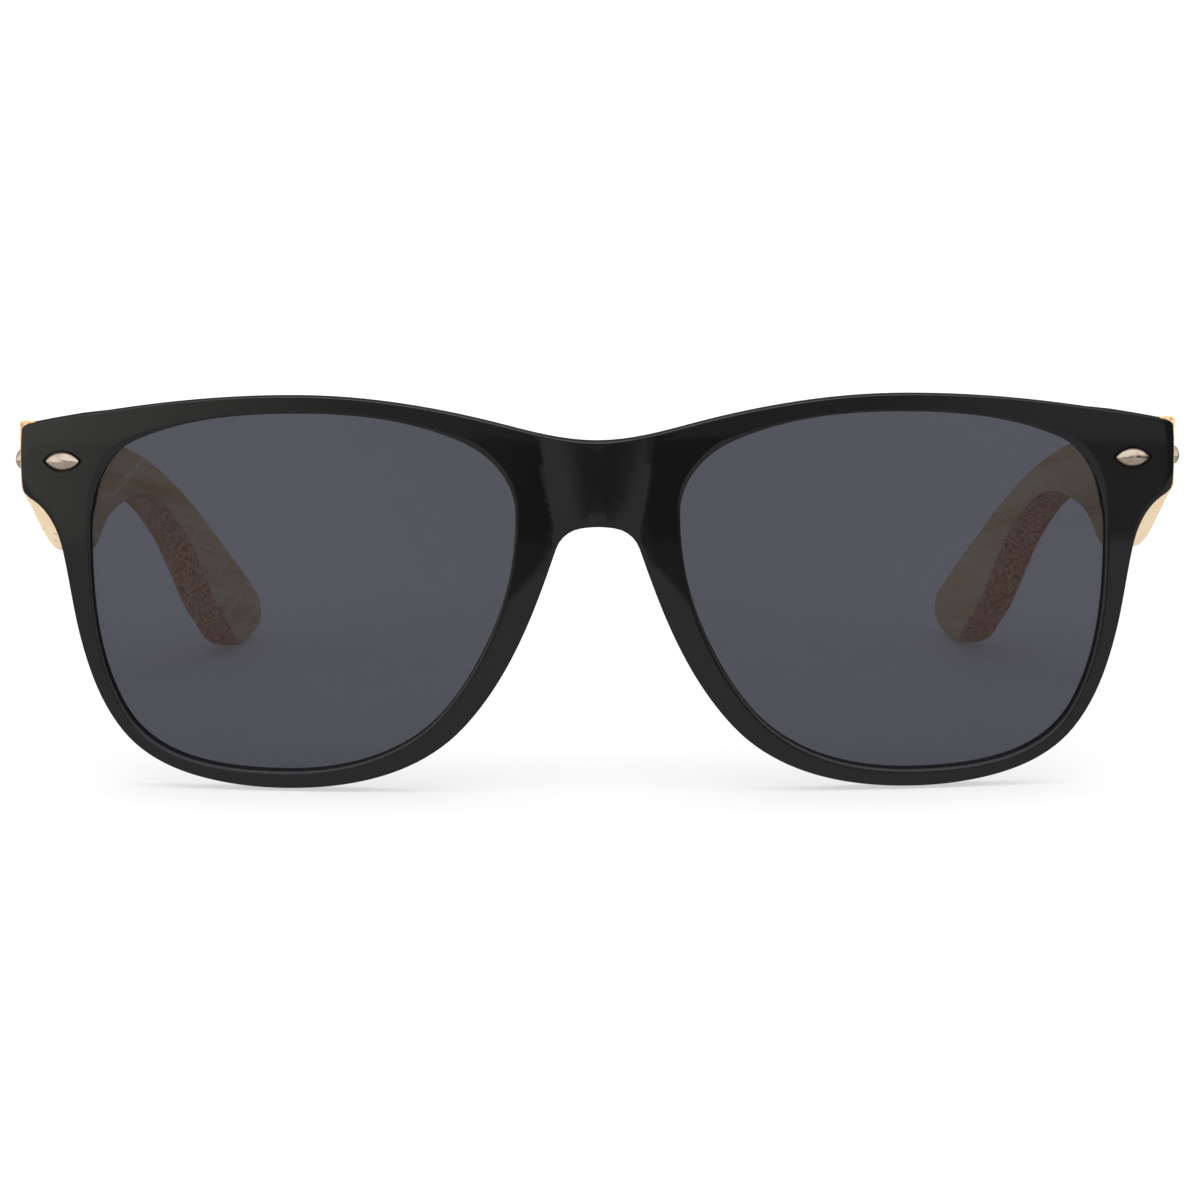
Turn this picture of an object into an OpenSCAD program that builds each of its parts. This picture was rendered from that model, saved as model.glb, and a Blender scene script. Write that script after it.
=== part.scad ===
// Sunglasses with a moulded front, tinted lenses and bamboo temples on barrel hinges.
// The frame stands open on its lower rims and temple tips, as it does on a shelf.
// X runs across the face, Y from the front back to the temple tips, and Z is up from the shelf.
// Left and right are the wearer's, so the left side is +X. Sizes are in millimetres.

/* [Front] */
// Thickness of the front from its front face to its back face
front_t = 4.4; // [3.8:0.1:6]
// Radius of the bend that wraps the front round the face
base_radius = 280; // [220:5:500]
// Width of the rim over each lens
rim_top = 2.05; // [1.2:0.05:4]
// Width of the rim under each lens
rim_bottom = 1.85; // [1.6:0.05:4]
// Width of the rim on the side of each lens that faces the temple
rim_side = 2.5; // [1.8:0.1:4]
// Width of the rim along the nose
rim_nose = 3; // [2.6:0.05:4.5]
// Height of the bridge, from its underside to its top
bridge_h = 10.4; // [7:0.1:13]
// Dip of the bridge's top below the brow
bridge_dip = 5.6; // [3:0.1:8]
// Width of the nose arch just under the bridge
arch_w = 12.3; // [10:0.1:15]
// Reach of an end piece beyond the lens opening
end_reach = 8.6; // [8:0.1:12]
// Height of an end piece at its outer edge
end_h = 8; // [7:0.1:9.5]
// Drop of the end piece's middle below the front's top
end_drop = 8.5; // [7.5:0.1:9.5]
// Depth of the end piece, from the bridge's front face to the joint with the temple
end_back = 14; // [13:0.1:17]
// Width of a nose pad
pad_w = 2.8; // [2:0.1:3]
// Reach of a nose pad behind the back face
pad_reach = 3.7; // [2.8:0.1:5]

/* [Lenses] */
// Width of a lens opening
lens_w = 53.8; // [50:0.1:54.5]
// Height of a lens opening
lens_h = 45.2; // [42:0.1:47]
// Distance between the two lens openings
bridge_w = 20.4; // [18:0.1:21]
// Thickness of a lens
lens_t = 1.8; // [1.2:0.1:2.2]
// Depth of the lens behind the front face
lens_inset = 1.5; // [0.8:0.1:1.8]
// Depth of the groove that holds the lens
groove_depth = 0.7; // [0.4:0.1:1]

/* [Temples] */
// Reach of a temple from its hinge pin to its tip
temple_reach = 137; // [128:1:150]
// Thickness of the bamboo
temple_t = 4.4; // [4:0.1:6]
// Angle by which each open temple leans towards the other
splay = 6; // [2:0.5:8]
// Height of the temple where it meets the end piece
butt_h = 8.9; // [8.4:0.1:10]
// Rise of the temple's top above the end piece's middle, where they meet
butt_rise = 4.8; // [4.4:0.1:5.4]
// Height of the temple at its widest, behind the hinge
flare_h = 14.2; // [12:0.1:16]
// Height of the slim part of the temple, in front of the ear
waist_h = 7.2; // [6:0.1:9]
// Height of the temple's ear hook
hook_h = 11.2; // [9:0.1:12]
// Fall of the temple's top edge in front of the ear
arm_fall = 9.5; // [8:0.5:11]
// Fall of the temple's top edge behind the ear
hook_fall = 21.5; // [19:0.5:24]
// Radius of the temple's rounded tip
tip_r = 2.8; // [2:0.1:3.2]

/* [Hinges] */
// Diameter of a hinge barrel
barrel_d = 3; // [2.6:0.1:3.2]
// Diameter of the hinge pin, which is the screw's shank
pin_d = 1.4; // [1:0.1:1.6]
// Height of the middle knuckle, which belongs to the temple
knuckle_h = 2; // [1.6:0.1:2.4]
// Height of each outer knuckle, which belongs to the front
outer_knuckle_h = 1.7; // [1.4:0.1:2]
// Thickness of the hinge leaves
leaf_t = 1; // [0.8:0.1:1.2]
// Length of the temple's leaf behind the pin
leaf_len = 15; // [13:0.5:16]
// Height of the front's leaf
front_leaf_h = 6.6; // [6:0.1:7]
// Height of the temple's leaf
temple_leaf_h = 5.6; // [5:0.1:5.8]

/* [Fasteners] */
// Length of an almond rivet head
rivet_l = 4.8; // [4:0.1:5]
// Height of an almond rivet head
rivet_h = 2.5; // [2.2:0.1:3]
// Rise of a rivet's dome above its seat
rivet_dome = 1; // [0.6:0.1:1.2]
// Diameter of a rivet's shank
shank_d = 1.4; // [1:0.1:1.6]
// Distance of the temple's rivet behind the hinge pin
temple_rivet_u = 0.6; // [0.5:0.1:3]
// Diameter of a leaf screw's head
leaf_screw_head_d = 2; // [1.6:0.1:2.4]
// Diameter of a leaf screw's shank
leaf_screw_d = 1.1; // [0.8:0.1:1.3]
// Length of a leaf screw
leaf_screw_l = 3.4; // [2.6:0.1:3.6]

/* [Fits] */
// Gap round the lens in its groove, and round pieces in their pockets
seat_gap = 0.06; // [0.03:0.01:0.1]
// Radial gap between the hinge pin and the knuckles
pin_gap = 0.04; // [0.02:0.01:0.08]
// Gap between neighbouring knuckles
knuckle_gap = 0.1; // [0.05:0.01:0.2]
// Gap between the end piece and the temple, and between the barrel and the bamboo
butt_gap = 0.2; // [0.15:0.01:0.4]

/* [Hidden] */

// Steps along each stretch of a curve, and sides of the large and small rounds
curve_steps = 10;
$fn = 48;
bend_fn = 720;
over = 1;

// The lens opening's box
open_in = bridge_w / 2;
open_out = open_in + lens_w;
open_low = rim_bottom;
open_top = open_low + lens_h;
front_h = open_top + rim_top;

// The lens lies between two cylinders about the same axis as the front's faces
lens_front_r = base_radius - lens_inset;
lens_back_r = lens_front_r - lens_t;

// The bridge and the end pieces
bridge_top = front_h - bridge_dip;
bridge_low = bridge_top - bridge_h;
end_z = front_h - end_drop;
end_top = end_z + end_h / 2;
end_low = end_z - end_h / 2;
end_x = open_out + end_reach;
end_corner = 0.8;
block_margin = 0.2;
end_in = open_out + block_margin;

// The nose pad's margin from the nose edge, its root in the rim, its rounding and its steps
pad_margin = 0.3;
pad_root = 0.5;
pad_dome_r = 10;
pad_steps = 6;

// The hinge pin stands behind the end piece, just inside the bamboo's inner face
barrel_r = barrel_d / 2;
pin_r = pin_d / 2;
inner_v = barrel_r + butt_gap;
outer_v = inner_v + temple_t;
temple_overhang = 0.6;
barrel_stand_off = 0.5;
hinge_x = end_x + temple_overhang - outer_v;
hinge_y = end_back + barrel_r + barrel_stand_off;
hinge_z = end_z + 0.4;

// Knuckle heights
mid_low = hinge_z - knuckle_h / 2;
mid_high = hinge_z + knuckle_h / 2;
barrel_low = mid_low - knuckle_gap - outer_knuckle_h;
barrel_high = mid_high + knuckle_gap + outer_knuckle_h;

// The leaves' places and the hinge screw's head
leaf_margin = 0.4;
front_leaf_x = [end_in + leaf_margin, hinge_x + barrel_r + leaf_margin];
web_w = barrel_d - leaf_margin;
leaf_z = hinge_z - 1.7;
leaf_start = 0.4;
screw_us = [leaf_len / 2, leaf_len - leaf_screw_head_d];
countersink = 0.7 * leaf_t;
pin_head_d = 2.2;
pin_head_h = 0.7;
slot_w = 0.4;
slot_depth = 0.35;

// The rivets' places
shank_r = shank_d / 2;
front_rivet_x = hinge_x + 0.1;
front_rivet_z = hinge_z - 0.25;
temple_rivet_z = hinge_z - 0.7;
rivet_seat = 0.5;
rivet_margin = 0.2;
shank_short = 0.4;
stud_l = temple_t - leaf_t - 2 * shank_short;

// Depth of the front face behind the bridge's, at a distance across the front
function sag(x) = base_radius - sqrt(base_radius * base_radius - x * x);
front_shank_l = (end_back - sag(front_rivet_x)) / cos(asin(front_rivet_x / base_radius)) - shank_short;

// The object's depth from the bridge's front face to the temple tips
total_depth = hinge_y + temple_reach * cos(splay) + outer_v * sin(splay);

// Curves
// A knot is [x, z, heading]. A curve leaves a knot along its heading, in degrees from +X.
function unit(angle) = [cos(angle), sin(angle)];
function spot(knot) = [knot[0], knot[1]];
function turn(k0, k1) = abs((k1[2] - k0[2] + 900) % 360 - 180);
function reach(k0, k1) =
    let (chord = norm(spot(k1) - spot(k0)), angle = turn(k0, k1))
    chord * (angle < 1 ? 1 / 3 : 2 / 3 * tan(angle / 4) / sin(angle / 2));
function bezier(a, b, c, d, t) =
    pow(1 - t, 3) * a + 3 * pow(1 - t, 2) * t * b + 3 * (1 - t) * t * t * c + pow(t, 3) * d;
function stretch(k0, k1) =
    let (
        r = reach(k0, k1),
        a = spot(k0),
        b = a + r * unit(k0[2]),
        d = spot(k1),
        c = d - r * unit(k1[2])
    )
    [for (i = [0 : curve_steps - 1]) bezier(a, b, c, d, i / curve_steps)];
function curve(knots) =
    [for (i = [0 : len(knots) - 2]) each stretch(knots[i], knots[i + 1])];
function loop(knots) = curve(concat(knots, [knots[0]]));
function reversed(list) = [for (i = [len(list) - 1 : -1 : 0]) list[i]];
function mirrored(points) = [for (p = points) [-p[0], p[1]]];

// A clockwise loop of points, grown outwards by a distance
function grown(points, distance) =
    let (n = len(points))
    [for (i = [0 : n - 1])
        let (
            along = points[(i + 1) % n] - points[(i + n - 1) % n],
            out = [-along[1], along[0]] / norm(along)
        )
        points[i] + distance * out];

// A knot moved to the left of its heading, which is outwards on a clockwise loop
function beside(knot, distance) =
    [knot[0] - distance * sin(knot[2]), knot[1] + distance * cos(knot[2]), knot[2]];

// A knot with its heading turned by an angle
function turned(knot, angle) = [knot[0], knot[1], knot[2] + angle];

// The left lens opening, clockwise from its top. The insets say how far each corner is rounded in.
top_out = [6.3, 3.5];
low_out = [3.9, 7.8];
low_in = [8.9, 8.0];
top_in = [6.5, 3.5];
opening_knots = [
    [open_in + lens_w * 0.485, open_top, 0],
    [open_out - top_out[0], open_top - top_out[1], -24],
    [open_out, open_low + lens_h * 0.645, -90],
    [open_out - low_out[0], open_low + low_out[1], -119],
    [open_in + lens_w * 0.545, open_low, 180],
    [open_in + low_in[0], open_low + low_in[1], 130],
    [open_in, open_low + lens_h * 0.725, 90],
    [open_in + top_in[0], open_top - top_in[1], 24],
];
opening = loop(opening_knots);

// The left half of the front's outline, from the top of the bridge round to its underside
half_knots = [
    [0, bridge_top, 0],
    [open_in + 0.8, bridge_top + 1.85, 14.8],
    [opening_knots[0][0] + 1.05, front_h, 0],
    [open_out - 4, end_top + 2.65, -8.9],
    [end_x - end_corner, end_top + 0.65, -12],
    [end_x - 0.18, end_top + 0.75 - end_corner, -85],
    [end_x - 0.15, end_low + 0.7, -94],
    [end_x - 2.2, end_low - 1.35, -139],
    [open_out + rim_side + 0.85, end_low - 7.2, -102],
    [open_out + rim_side - 1.3, open_low + 16.35, -104.5],
    [open_out - 4.05, open_low + 4.9, -130],
    [open_out - 13.5, rim_bottom * 0.7, -165.5],
    [opening_knots[4][0] + 0.1, 0, 180],
    turned(beside(opening_knots[5], rim_nose), 3),
    [arch_w / 2, bridge_low - 5.6, 109.5],
    [arch_w / 2 - 1, bridge_low - 2.75, 109.5],
    [arch_w / 2 - 4, bridge_low - 0.2, 170],
    [0, bridge_low, 180],
];
half_outline = concat(curve(half_knots), [[0, bridge_low]]);
outline = concat(
    half_outline,
    reversed(mirrored([for (i = [1 : len(half_outline) - 2]) half_outline[i]]))
);

// A point of the nose edge, counted up from the pad's lower end, moved into the rim by a distance
nose_points = stretch(half_knots[13], half_knots[14]);
function nose_edge(i, distance) =
    let (
        first = floor((curve_steps - pad_steps) / 2),
        along = nose_points[first + i + 1] - nose_points[first + i - 1]
    )
    nose_points[first + i] + distance * [along[1], -along[0]] / norm(along);

// The side view of a temple, as [u, z] with u behind the hinge pin
butt_u = -3;
butt_top = end_z + butt_rise;
flare_u = 19.5;
waist_u = 41;
tip_z = tip_r + 0.9;
function top_at(u) = butt_top - (u + 2) * tan(arm_fall);
hook_start = [temple_reach - 37, tip_z + 16.7];
function tip(heading) =
    let (p = [temple_reach - tip_r, tip_z] + tip_r * unit(heading + 90))
    [p[0], p[1], heading];
temple_knots = [
    [butt_u, top_at(butt_u), -arm_fall],
    [waist_u, top_at(waist_u) + 0.1, -arm_fall - 1],
    [hook_start[0], hook_start[1], -hook_fall],
    tip(-hook_fall - 3),
    tip(-100),
    tip(-170),
    [temple_reach - 14.5, 0, 180],
    [temple_reach - 24, 3, 151],
    [hook_start[0] + 2, hook_start[1] - hook_h * 1.1, 151],
    [temple_reach * 0.57, top_at(waist_u) - waist_h - 8.8, 156],
    [temple_reach * 0.44, top_at(waist_u) - waist_h - 2.1, 166],
    [waist_u, top_at(waist_u) - waist_h, 181],
    [27, top_at(27) - waist_h - 4, 197],
    [flare_u, top_at(flare_u) - flare_h - 1.1, 181],
    [butt_u, top_at(butt_u) - butt_h, 158],
];
temple_outline = loop(temple_knots);

// Places
// The whole object, with its origin under the middle of its box
module stood() {
    translate([0, -total_depth / 2, 0]) children();
}

// A side's own pieces, drawn for the wearer's left
module on_side(side) {
    stood() mirror([side == "left" ? 0 : 1, 0, 0]) children();
}

// The front face at a distance across it, with +Y into the front
module on_front(x) {
    translate([0, base_radius, 0])
        rotate([0, 0, asin(x / base_radius)])
            translate([0, -base_radius, 0]) children();
}

// The open temple's own axes, with the hinge pin on Z, +Y along the temple and +X outwards
module on_temple() {
    translate([hinge_x, hinge_y, 0]) rotate([0, 0, splay]) children();
}

// Shapes
// A flat [x, z] shape, drawn out along Y
module drawn_back(y0, y1) {
    translate([0, y1, 0]) rotate([90, 0, 0]) linear_extrude(y1 - y0) children();
}

// An upright cylinder about the front's bend axis
module bend_cylinder(r) {
    translate([0, base_radius, -over]) cylinder(r = r, h = front_h + 2 * over, $fn = bend_fn);
}

// A flat shape wrapped between two radii
module bent_plate(outer_r, inner_r) {
    difference() {
        intersection() {
            drawn_back(-over, end_back + over) children();
            bend_cylinder(outer_r);
        }
        bend_cylinder(inner_r);
    }
}

// A cylinder along Y
module rod(r, y0, y1) {
    translate([0, y0, 0]) rotate([-90, 0, 0]) cylinder(r = r, h = y1 - y0);
}

// The pointed oval of a rivet head, grown by a margin
module almond(margin) {
    r = (rivet_l * rivet_l + rivet_h * rivet_h) / (4 * rivet_h);
    shift = r - rivet_h / 2;
    intersection() {
        translate([0, shift]) circle(r = r + margin, $fn = 96);
        translate([0, -shift]) circle(r = r + margin, $fn = 96);
    }
}

// A rivet with its head's seat at Y = 0 and its shank along +Y
module almond_rivet(shank_l) {
    dome_r = (rivet_l * rivet_l / 4 + rivet_dome * rivet_dome) / (2 * rivet_dome);
    intersection() {
        drawn_back(-rivet_dome - over, rivet_seat) almond(0);
        translate([0, dome_r - rivet_dome, 0]) sphere(r = dome_r, $fn = 96);
    }
    rod(shank_r, 0, shank_l);
}

// The hole that a rivet goes in
module rivet_hole(shank_l) {
    drawn_back(-over - rivet_dome, rivet_seat + seat_gap) almond(rivet_margin);
    rod(shank_r + seat_gap, 0, shank_l);
}

// A knuckle about the hinge pin, from z0 to z1
module knuckle(z0, z1) {
    translate([0, 0, z0]) cylinder(r = barrel_r, h = z1 - z0);
}

// The hole for the hinge pin through all the knuckles
module pin_hole() {
    translate([0, 0, barrel_low - over])
        cylinder(r = pin_r + pin_gap, h = barrel_high - barrel_low + 2 * over);
}

// Front
// The blank of the front: the bent plate with its end pieces and nose pads
module front_blank() {
    difference() {
        intersection() {
            drawn_back(-over, end_back) polygon(outline);
            bend_cylinder(base_radius);
        }
        difference() {
            bend_cylinder(base_radius - front_t);
            for (side = [0, 1]) mirror([side, 0, 0]) end_box();
        }
    }
    for (side = [0, 1]) mirror([side, 0, 0]) nose_pad();
}

// The space in which the end piece is thickened back to the temple
module end_box() {
    translate([end_in, 0, end_low - 2 * over])
        cube([end_x - end_in + over, end_back + over, end_h + 4 * over]);
}

// A moulded nose pad, which follows the nose edge along the back of the rim and is domed behind
module nose_pad() {
    middle = nose_edge(pad_steps / 2, pad_margin + pad_w / 2);
    intersection() {
        drawn_back(front_t - pad_root, front_t + pad_reach + over) polygon(concat(
            [for (i = [0 : pad_steps]) nose_edge(i, pad_margin)],
            [for (i = [pad_steps : -1 : 0]) nose_edge(i, pad_margin + pad_w)]
        ));
        translate([middle[0], front_t + pad_reach - pad_dome_r, middle[1]])
            sphere(r = pad_dome_r, $fn = 96);
    }
}

module front_frame() {
    color("#1b1b1c") stood() difference() {
        front_blank();
        for (side = [0, 1]) mirror([side, 0, 0]) {
            drawn_back(-over, end_back + over) polygon(opening);
            bent_plate(lens_front_r + seat_gap, lens_back_r - seat_gap)
                polygon(grown(opening, groove_depth + seat_gap));
            front_leaf_plate(seat_gap, over);
            translate([0, 0, front_rivet_z])
                on_front(front_rivet_x) rivet_hole(front_shank_l + over);
        }
    }
}

module lens(side) {
    color("#43464d", 0.85) on_side(side)
        bent_plate(lens_front_r, lens_back_r) polygon(grown(opening, groove_depth));
}

// Hinges
// The front's leaf without its holes, grown by a gap, and run out backwards by a distance
module front_leaf_plate(gap, run_out) {
    translate([front_leaf_x[0] - gap, end_back - leaf_t - gap, hinge_z - front_leaf_h / 2 - gap])
        cube([front_leaf_x[1] - front_leaf_x[0] + 2 * gap, leaf_t + gap + run_out, front_leaf_h + 2 * gap]);
}

// The leaf sunk in the end piece, with the two outer knuckles
module front_leaf(side) {
    knuckles = [[barrel_low, mid_low - knuckle_gap], [mid_high + knuckle_gap, barrel_high]];
    color("#b9babc") on_side(side) difference() {
        union() {
            front_leaf_plate(0, 0);
            for (k = knuckles) {
                translate([hinge_x, hinge_y, 0]) knuckle(k[0], k[1]);
                translate([hinge_x - barrel_r, end_back - leaf_t / 2, k[0]])
                    cube([web_w, hinge_y - end_back + leaf_t / 2, k[1] - k[0]]);
            }
        }
        translate([hinge_x, hinge_y, 0]) pin_hole();
        translate([0, 0, front_rivet_z])
            on_front(front_rivet_x) rod(shank_r + seat_gap, 0, front_shank_l + over);
    }
}

// The temple's leaf without its holes, grown by a gap, and run out inwards by a distance
module temple_leaf_plate(gap, run_out) {
    translate([inner_v - run_out, leaf_start - gap, leaf_z - temple_leaf_h / 2 - gap])
        cube([leaf_t + gap + run_out, leaf_len - leaf_start + 2 * gap, temple_leaf_h + 2 * gap]);
}

// The arm that joins the temple's leaf to its knuckle, grown by a gap
module temple_leaf_arm(gap) {
    translate([barrel_r / 2, -barrel_r / 2 - gap, mid_low - gap])
        cube([inner_v + leaf_t - barrel_r / 2 + gap, leaf_start + barrel_r + gap, knuckle_h + 2 * gap]);
}

module leaf_screw_places() {
    for (u = screw_us) translate([inner_v, u, leaf_z]) rotate([0, 90, 0]) children();
}

// A countersunk wood screw along Z with its head's face at Z = 0, grown by a gap
module leaf_screw(gap) {
    head_r = leaf_screw_head_d / 2 + gap;
    r = leaf_screw_d / 2 + gap;
    cylinder(r1 = head_r, r2 = r, h = countersink);
    cylinder(r = r, h = leaf_screw_l + gap);
}

module temple_leaf(side) {
    color("#b9babc") on_side(side) on_temple() difference() {
        union() {
            temple_leaf_plate(0, 0);
            temple_leaf_arm(0);
            knuckle(mid_low, mid_high);
        }
        pin_hole();
        leaf_screw_places() leaf_screw(seat_gap);
    }
}

// The screw that is the hinge's pin, with its slotted head on top
module hinge_screw(side) {
    color("#c9cacc") on_side(side) translate([hinge_x, hinge_y, 0]) difference() {
        union() {
            translate([0, 0, barrel_low]) cylinder(r = pin_r, h = barrel_high - barrel_low);
            translate([0, 0, barrel_high]) cylinder(r = pin_head_d / 2, h = pin_head_h);
        }
        translate([-pin_head_d, -slot_w / 2, barrel_high + pin_head_h - slot_depth])
            cube([2 * pin_head_d, slot_w, pin_head_h]);
    }
}

// Temples
// The place of the temple's rivet, on the bamboo's outer face with +Y into the bamboo
module temple_rivet_place() {
    translate([outer_v, temple_rivet_u, temple_rivet_z]) rotate([0, 0, 90]) children();
}

module temple(side) {
    color("#d9b27c") on_side(side) difference() {
        on_temple() difference() {
            translate([inner_v, 0, 0]) rotate([90, 0, 90])
                linear_extrude(temple_t) polygon(temple_outline);
            temple_leaf_plate(seat_gap, over);
            temple_leaf_arm(seat_gap + knuckle_gap);
            temple_rivet_place() rivet_hole(stud_l + seat_gap);
            leaf_screw_places() leaf_screw(seat_gap);
        }
        translate([0, butt_gap, 0]) cube([2 * end_x, end_back, front_h]);
    }
}

// Fasteners
module front_rivet(side) {
    color("#d8d2c8") on_side(side) translate([0, 0, front_rivet_z])
        on_front(front_rivet_x) almond_rivet(front_shank_l);
}

module temple_rivet(side) {
    color("#d8d2c8") on_side(side) on_temple()
        temple_rivet_place() almond_rivet(stud_l);
}

module leaf_screws(side) {
    color("#c9cacc") on_side(side) on_temple() leaf_screw_places() leaf_screw(0);
}

front_frame();
lens("left");  // lens_left
lens("right");  // lens_right
temple("left");  // temple_left
temple("right");  // temple_right
front_leaf("left");  // front_leaf_left
front_leaf("right");  // front_leaf_right
temple_leaf("left");  // temple_leaf_left
temple_leaf("right");  // temple_leaf_right
hinge_screw("left");  // hinge_screw_left
hinge_screw("right");  // hinge_screw_right
front_rivet("left");  // front_rivet_left
front_rivet("right");  // front_rivet_right
temple_rivet("left");  // temple_rivet_left
temple_rivet("right");  // temple_rivet_right
leaf_screws("left");  // leaf_screws_left
leaf_screws("right");  // leaf_screws_right
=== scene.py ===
"""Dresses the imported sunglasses: a gloss front, tinted lenses, bamboo temples and metal fittings.

Meshes are drawn in millimetres about the front's own datum, which is the middle of the bridge's
front face at shelf height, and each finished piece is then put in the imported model's frame.
"""

from __future__ import annotations

import logging
import math
from dataclasses import dataclass, field
from enum import Enum, IntEnum
from typing import Any, Iterable, Mapping, NamedTuple, Sequence, Union

import bmesh
import bpy
from mathutils import Matrix, Vector
from mathutils.geometry import interpolate_bezier
from mathutils.kdtree import KDTree

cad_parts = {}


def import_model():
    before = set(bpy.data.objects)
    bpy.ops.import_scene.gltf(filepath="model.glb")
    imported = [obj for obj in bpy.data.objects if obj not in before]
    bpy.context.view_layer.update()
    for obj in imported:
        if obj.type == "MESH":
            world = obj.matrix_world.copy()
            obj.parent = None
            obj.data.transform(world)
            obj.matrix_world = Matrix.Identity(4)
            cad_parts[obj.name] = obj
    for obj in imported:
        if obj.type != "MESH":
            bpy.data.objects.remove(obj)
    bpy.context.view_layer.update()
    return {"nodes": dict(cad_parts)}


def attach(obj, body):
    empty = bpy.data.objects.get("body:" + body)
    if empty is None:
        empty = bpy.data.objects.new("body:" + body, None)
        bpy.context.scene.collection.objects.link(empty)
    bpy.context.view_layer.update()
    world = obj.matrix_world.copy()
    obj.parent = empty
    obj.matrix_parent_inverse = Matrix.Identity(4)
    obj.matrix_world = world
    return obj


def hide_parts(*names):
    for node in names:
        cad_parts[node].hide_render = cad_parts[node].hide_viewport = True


LOG = logging.getLogger("sunglasses")
MM = 0.001
DATUM_BACK = 76.4436
# Points that are closer than this, in millimetres, count as one.
NEAR = 1e-4
Colour = tuple[float, float, float]
Triple = tuple[float, float, float]
Span = tuple[float, float]


class Side(Enum):
    """A side of the wearer, whose value is its sign along X."""

    LEFT = 1
    RIGHT = -1

    @property
    def word(self) -> str:
        """The side's name in small letters."""
        return self.name.lower()

    @property
    def body(self) -> str:
        """The moving body of this side's temple."""
        return f"temple_{self.word}"


class Wood(IntEnum):
    """A surface of a temple, whose value is its material's index."""

    OUTER_FACE = 0
    UPPER_EDGE = 1
    # The hook's underside, in a darker, redder copy of the cut edge that is partly painted shade.
    HOOK_EDGE = 2
    INNER_FACE = 3
    FRONT_EDGE = 4


class Knot(NamedTuple):
    """A point that a curve goes through, and the curve's heading there in degrees."""

    across: float
    up: float
    heading: float

    def spot(self) -> Vector:
        """The knot's place."""
        return Vector((self.across, self.up))

    def unit(self) -> Vector:
        """The direction of the knot's heading."""
        angle = math.radians(self.heading)
        return Vector((math.cos(angle), math.sin(angle)))

    def beside(self, distance: float) -> Knot:
        """The knot moved to the left of its heading."""
        left = Vector((-self.unit().y, self.unit().x))
        spot = self.spot() + distance * left
        return Knot(spot.x, spot.y, self.heading)

    def turned(self, angle: float) -> Knot:
        """The knot with its heading turned by an angle in degrees."""
        return Knot(self.across, self.up, self.heading + angle)


def stretch(start: Knot, end: Knot, steps: int) -> list[Vector]:
    """Draws a curve from one knot to the next.

    Args:
        start: The knot that the curve leaves.
        end: The knot that the curve arrives at.
        steps: The number of points.

    Returns:
        The points, without the last knot's own.
    """
    turn = abs((end.heading - start.heading + 900) % 360 - 180)
    chord = (end.spot() - start.spot()).length
    reach = chord / 3
    if turn >= 1:
        half = math.radians(turn) / 2
        reach = chord * 2 / 3 * math.tan(half / 2) / math.sin(half)
    leave = start.spot() + reach * start.unit()
    arrive = end.spot() - reach * end.unit()
    return interpolate_bezier(start.spot(), leave, arrive, end.spot(), steps + 1)[:-1]


def smooth_step(low: float, high: float, value: float) -> float:
    """A soft step from 0 at low to 1 at high."""
    share = min(1.0, max(0.0, (value - low) / (high - low)))
    return share * share * (3 - 2 * share)


def drawn_loop(bm: bmesh.types.BMesh, places: Iterable[Vector]) -> list[bmesh.types.BMVert]:
    """Adds a closed loop of edges.

    Args:
        bm: The mesh to add to.
        places: The corners in order.

    Returns:
        The loop's vertices in order.
    """
    verts = [bm.verts.new(place) for place in places]
    for first, second in zip(verts, verts[1:] + verts[:1]):
        bm.edges.new((first, second))
    return verts


def verts_of(geometry: Sequence[Any]) -> list[bmesh.types.BMVert]:
    """The vertices among an operator's results."""
    return [item for item in geometry if isinstance(item, bmesh.types.BMVert)]


def edges_of(geometry: Sequence[Any]) -> list[bmesh.types.BMEdge]:
    """The edges among an operator's results."""
    return [item for item in geometry if isinstance(item, bmesh.types.BMEdge)]


def thickened(bm: bmesh.types.BMesh, faces: list[bmesh.types.BMFace], by: Triple) -> None:
    """Makes a solid of flat faces.

    Args:
        bm: The mesh.
        faces: The faces, which stay in place as one side.
        by: The way from them to the other side.
    """
    grown = bmesh.ops.extrude_face_region(bm, geom=faces)["geom"]
    bmesh.ops.translate(bm, vec=by, verts=verts_of(grown))


def sliced(
    bm: bmesh.types.BMesh,
    spot: Triple,
    normal: Triple,
    clear: bool = False,
) -> list[bmesh.types.BMEdge]:
    """Cuts a whole mesh along a plane.

    Args:
        bm: The mesh.
        spot: A point of the plane.
        normal: The way that the plane faces.
        clear: Whether what lies in front of the plane is taken away.

    Returns:
        The edges that lie in the plane.
    """
    cut = bmesh.ops.bisect_plane(
        bm,
        geom=bm.verts[:] + bm.edges[:] + bm.faces[:],
        dist=NEAR,
        plane_co=spot,
        plane_no=normal,
        clear_outer=clear,
    )
    return edges_of(cut["geom_cut"])


def sharp_edges(bm: bmesh.types.BMesh, degrees: float) -> list[bmesh.types.BMEdge]:
    """The edges whose two faces meet at more than an angle."""
    limit = math.radians(degrees)
    return [edge for edge in bm.edges if edge.calc_face_angle(0.0) > limit]


def bevelled(
    bm: bmesh.types.BMesh,
    edges: list[bmesh.types.BMEdge],
    width: float,
    segments: int,
) -> None:
    """Rounds edges over.

    Args:
        bm: The mesh.
        edges: The edges to round.
        width: The width of the rounding.
        segments: The number of strips in it.
    """
    bmesh.ops.bevel(
        bm,
        geom=edges,
        offset=width,
        offset_type="OFFSET",
        affect="EDGES",
        segments=segments,
        profile=0.5,
        material=-1,
        loop_slide=True,
        clamp_overlap=False,
    )


def linked(name: str, data: bpy.types.ID) -> bpy.types.Object:
    """A new object in the scene, with its data."""
    made = bpy.data.objects.new(name, data)
    bpy.context.scene.collection.objects.link(made)
    return made


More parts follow.
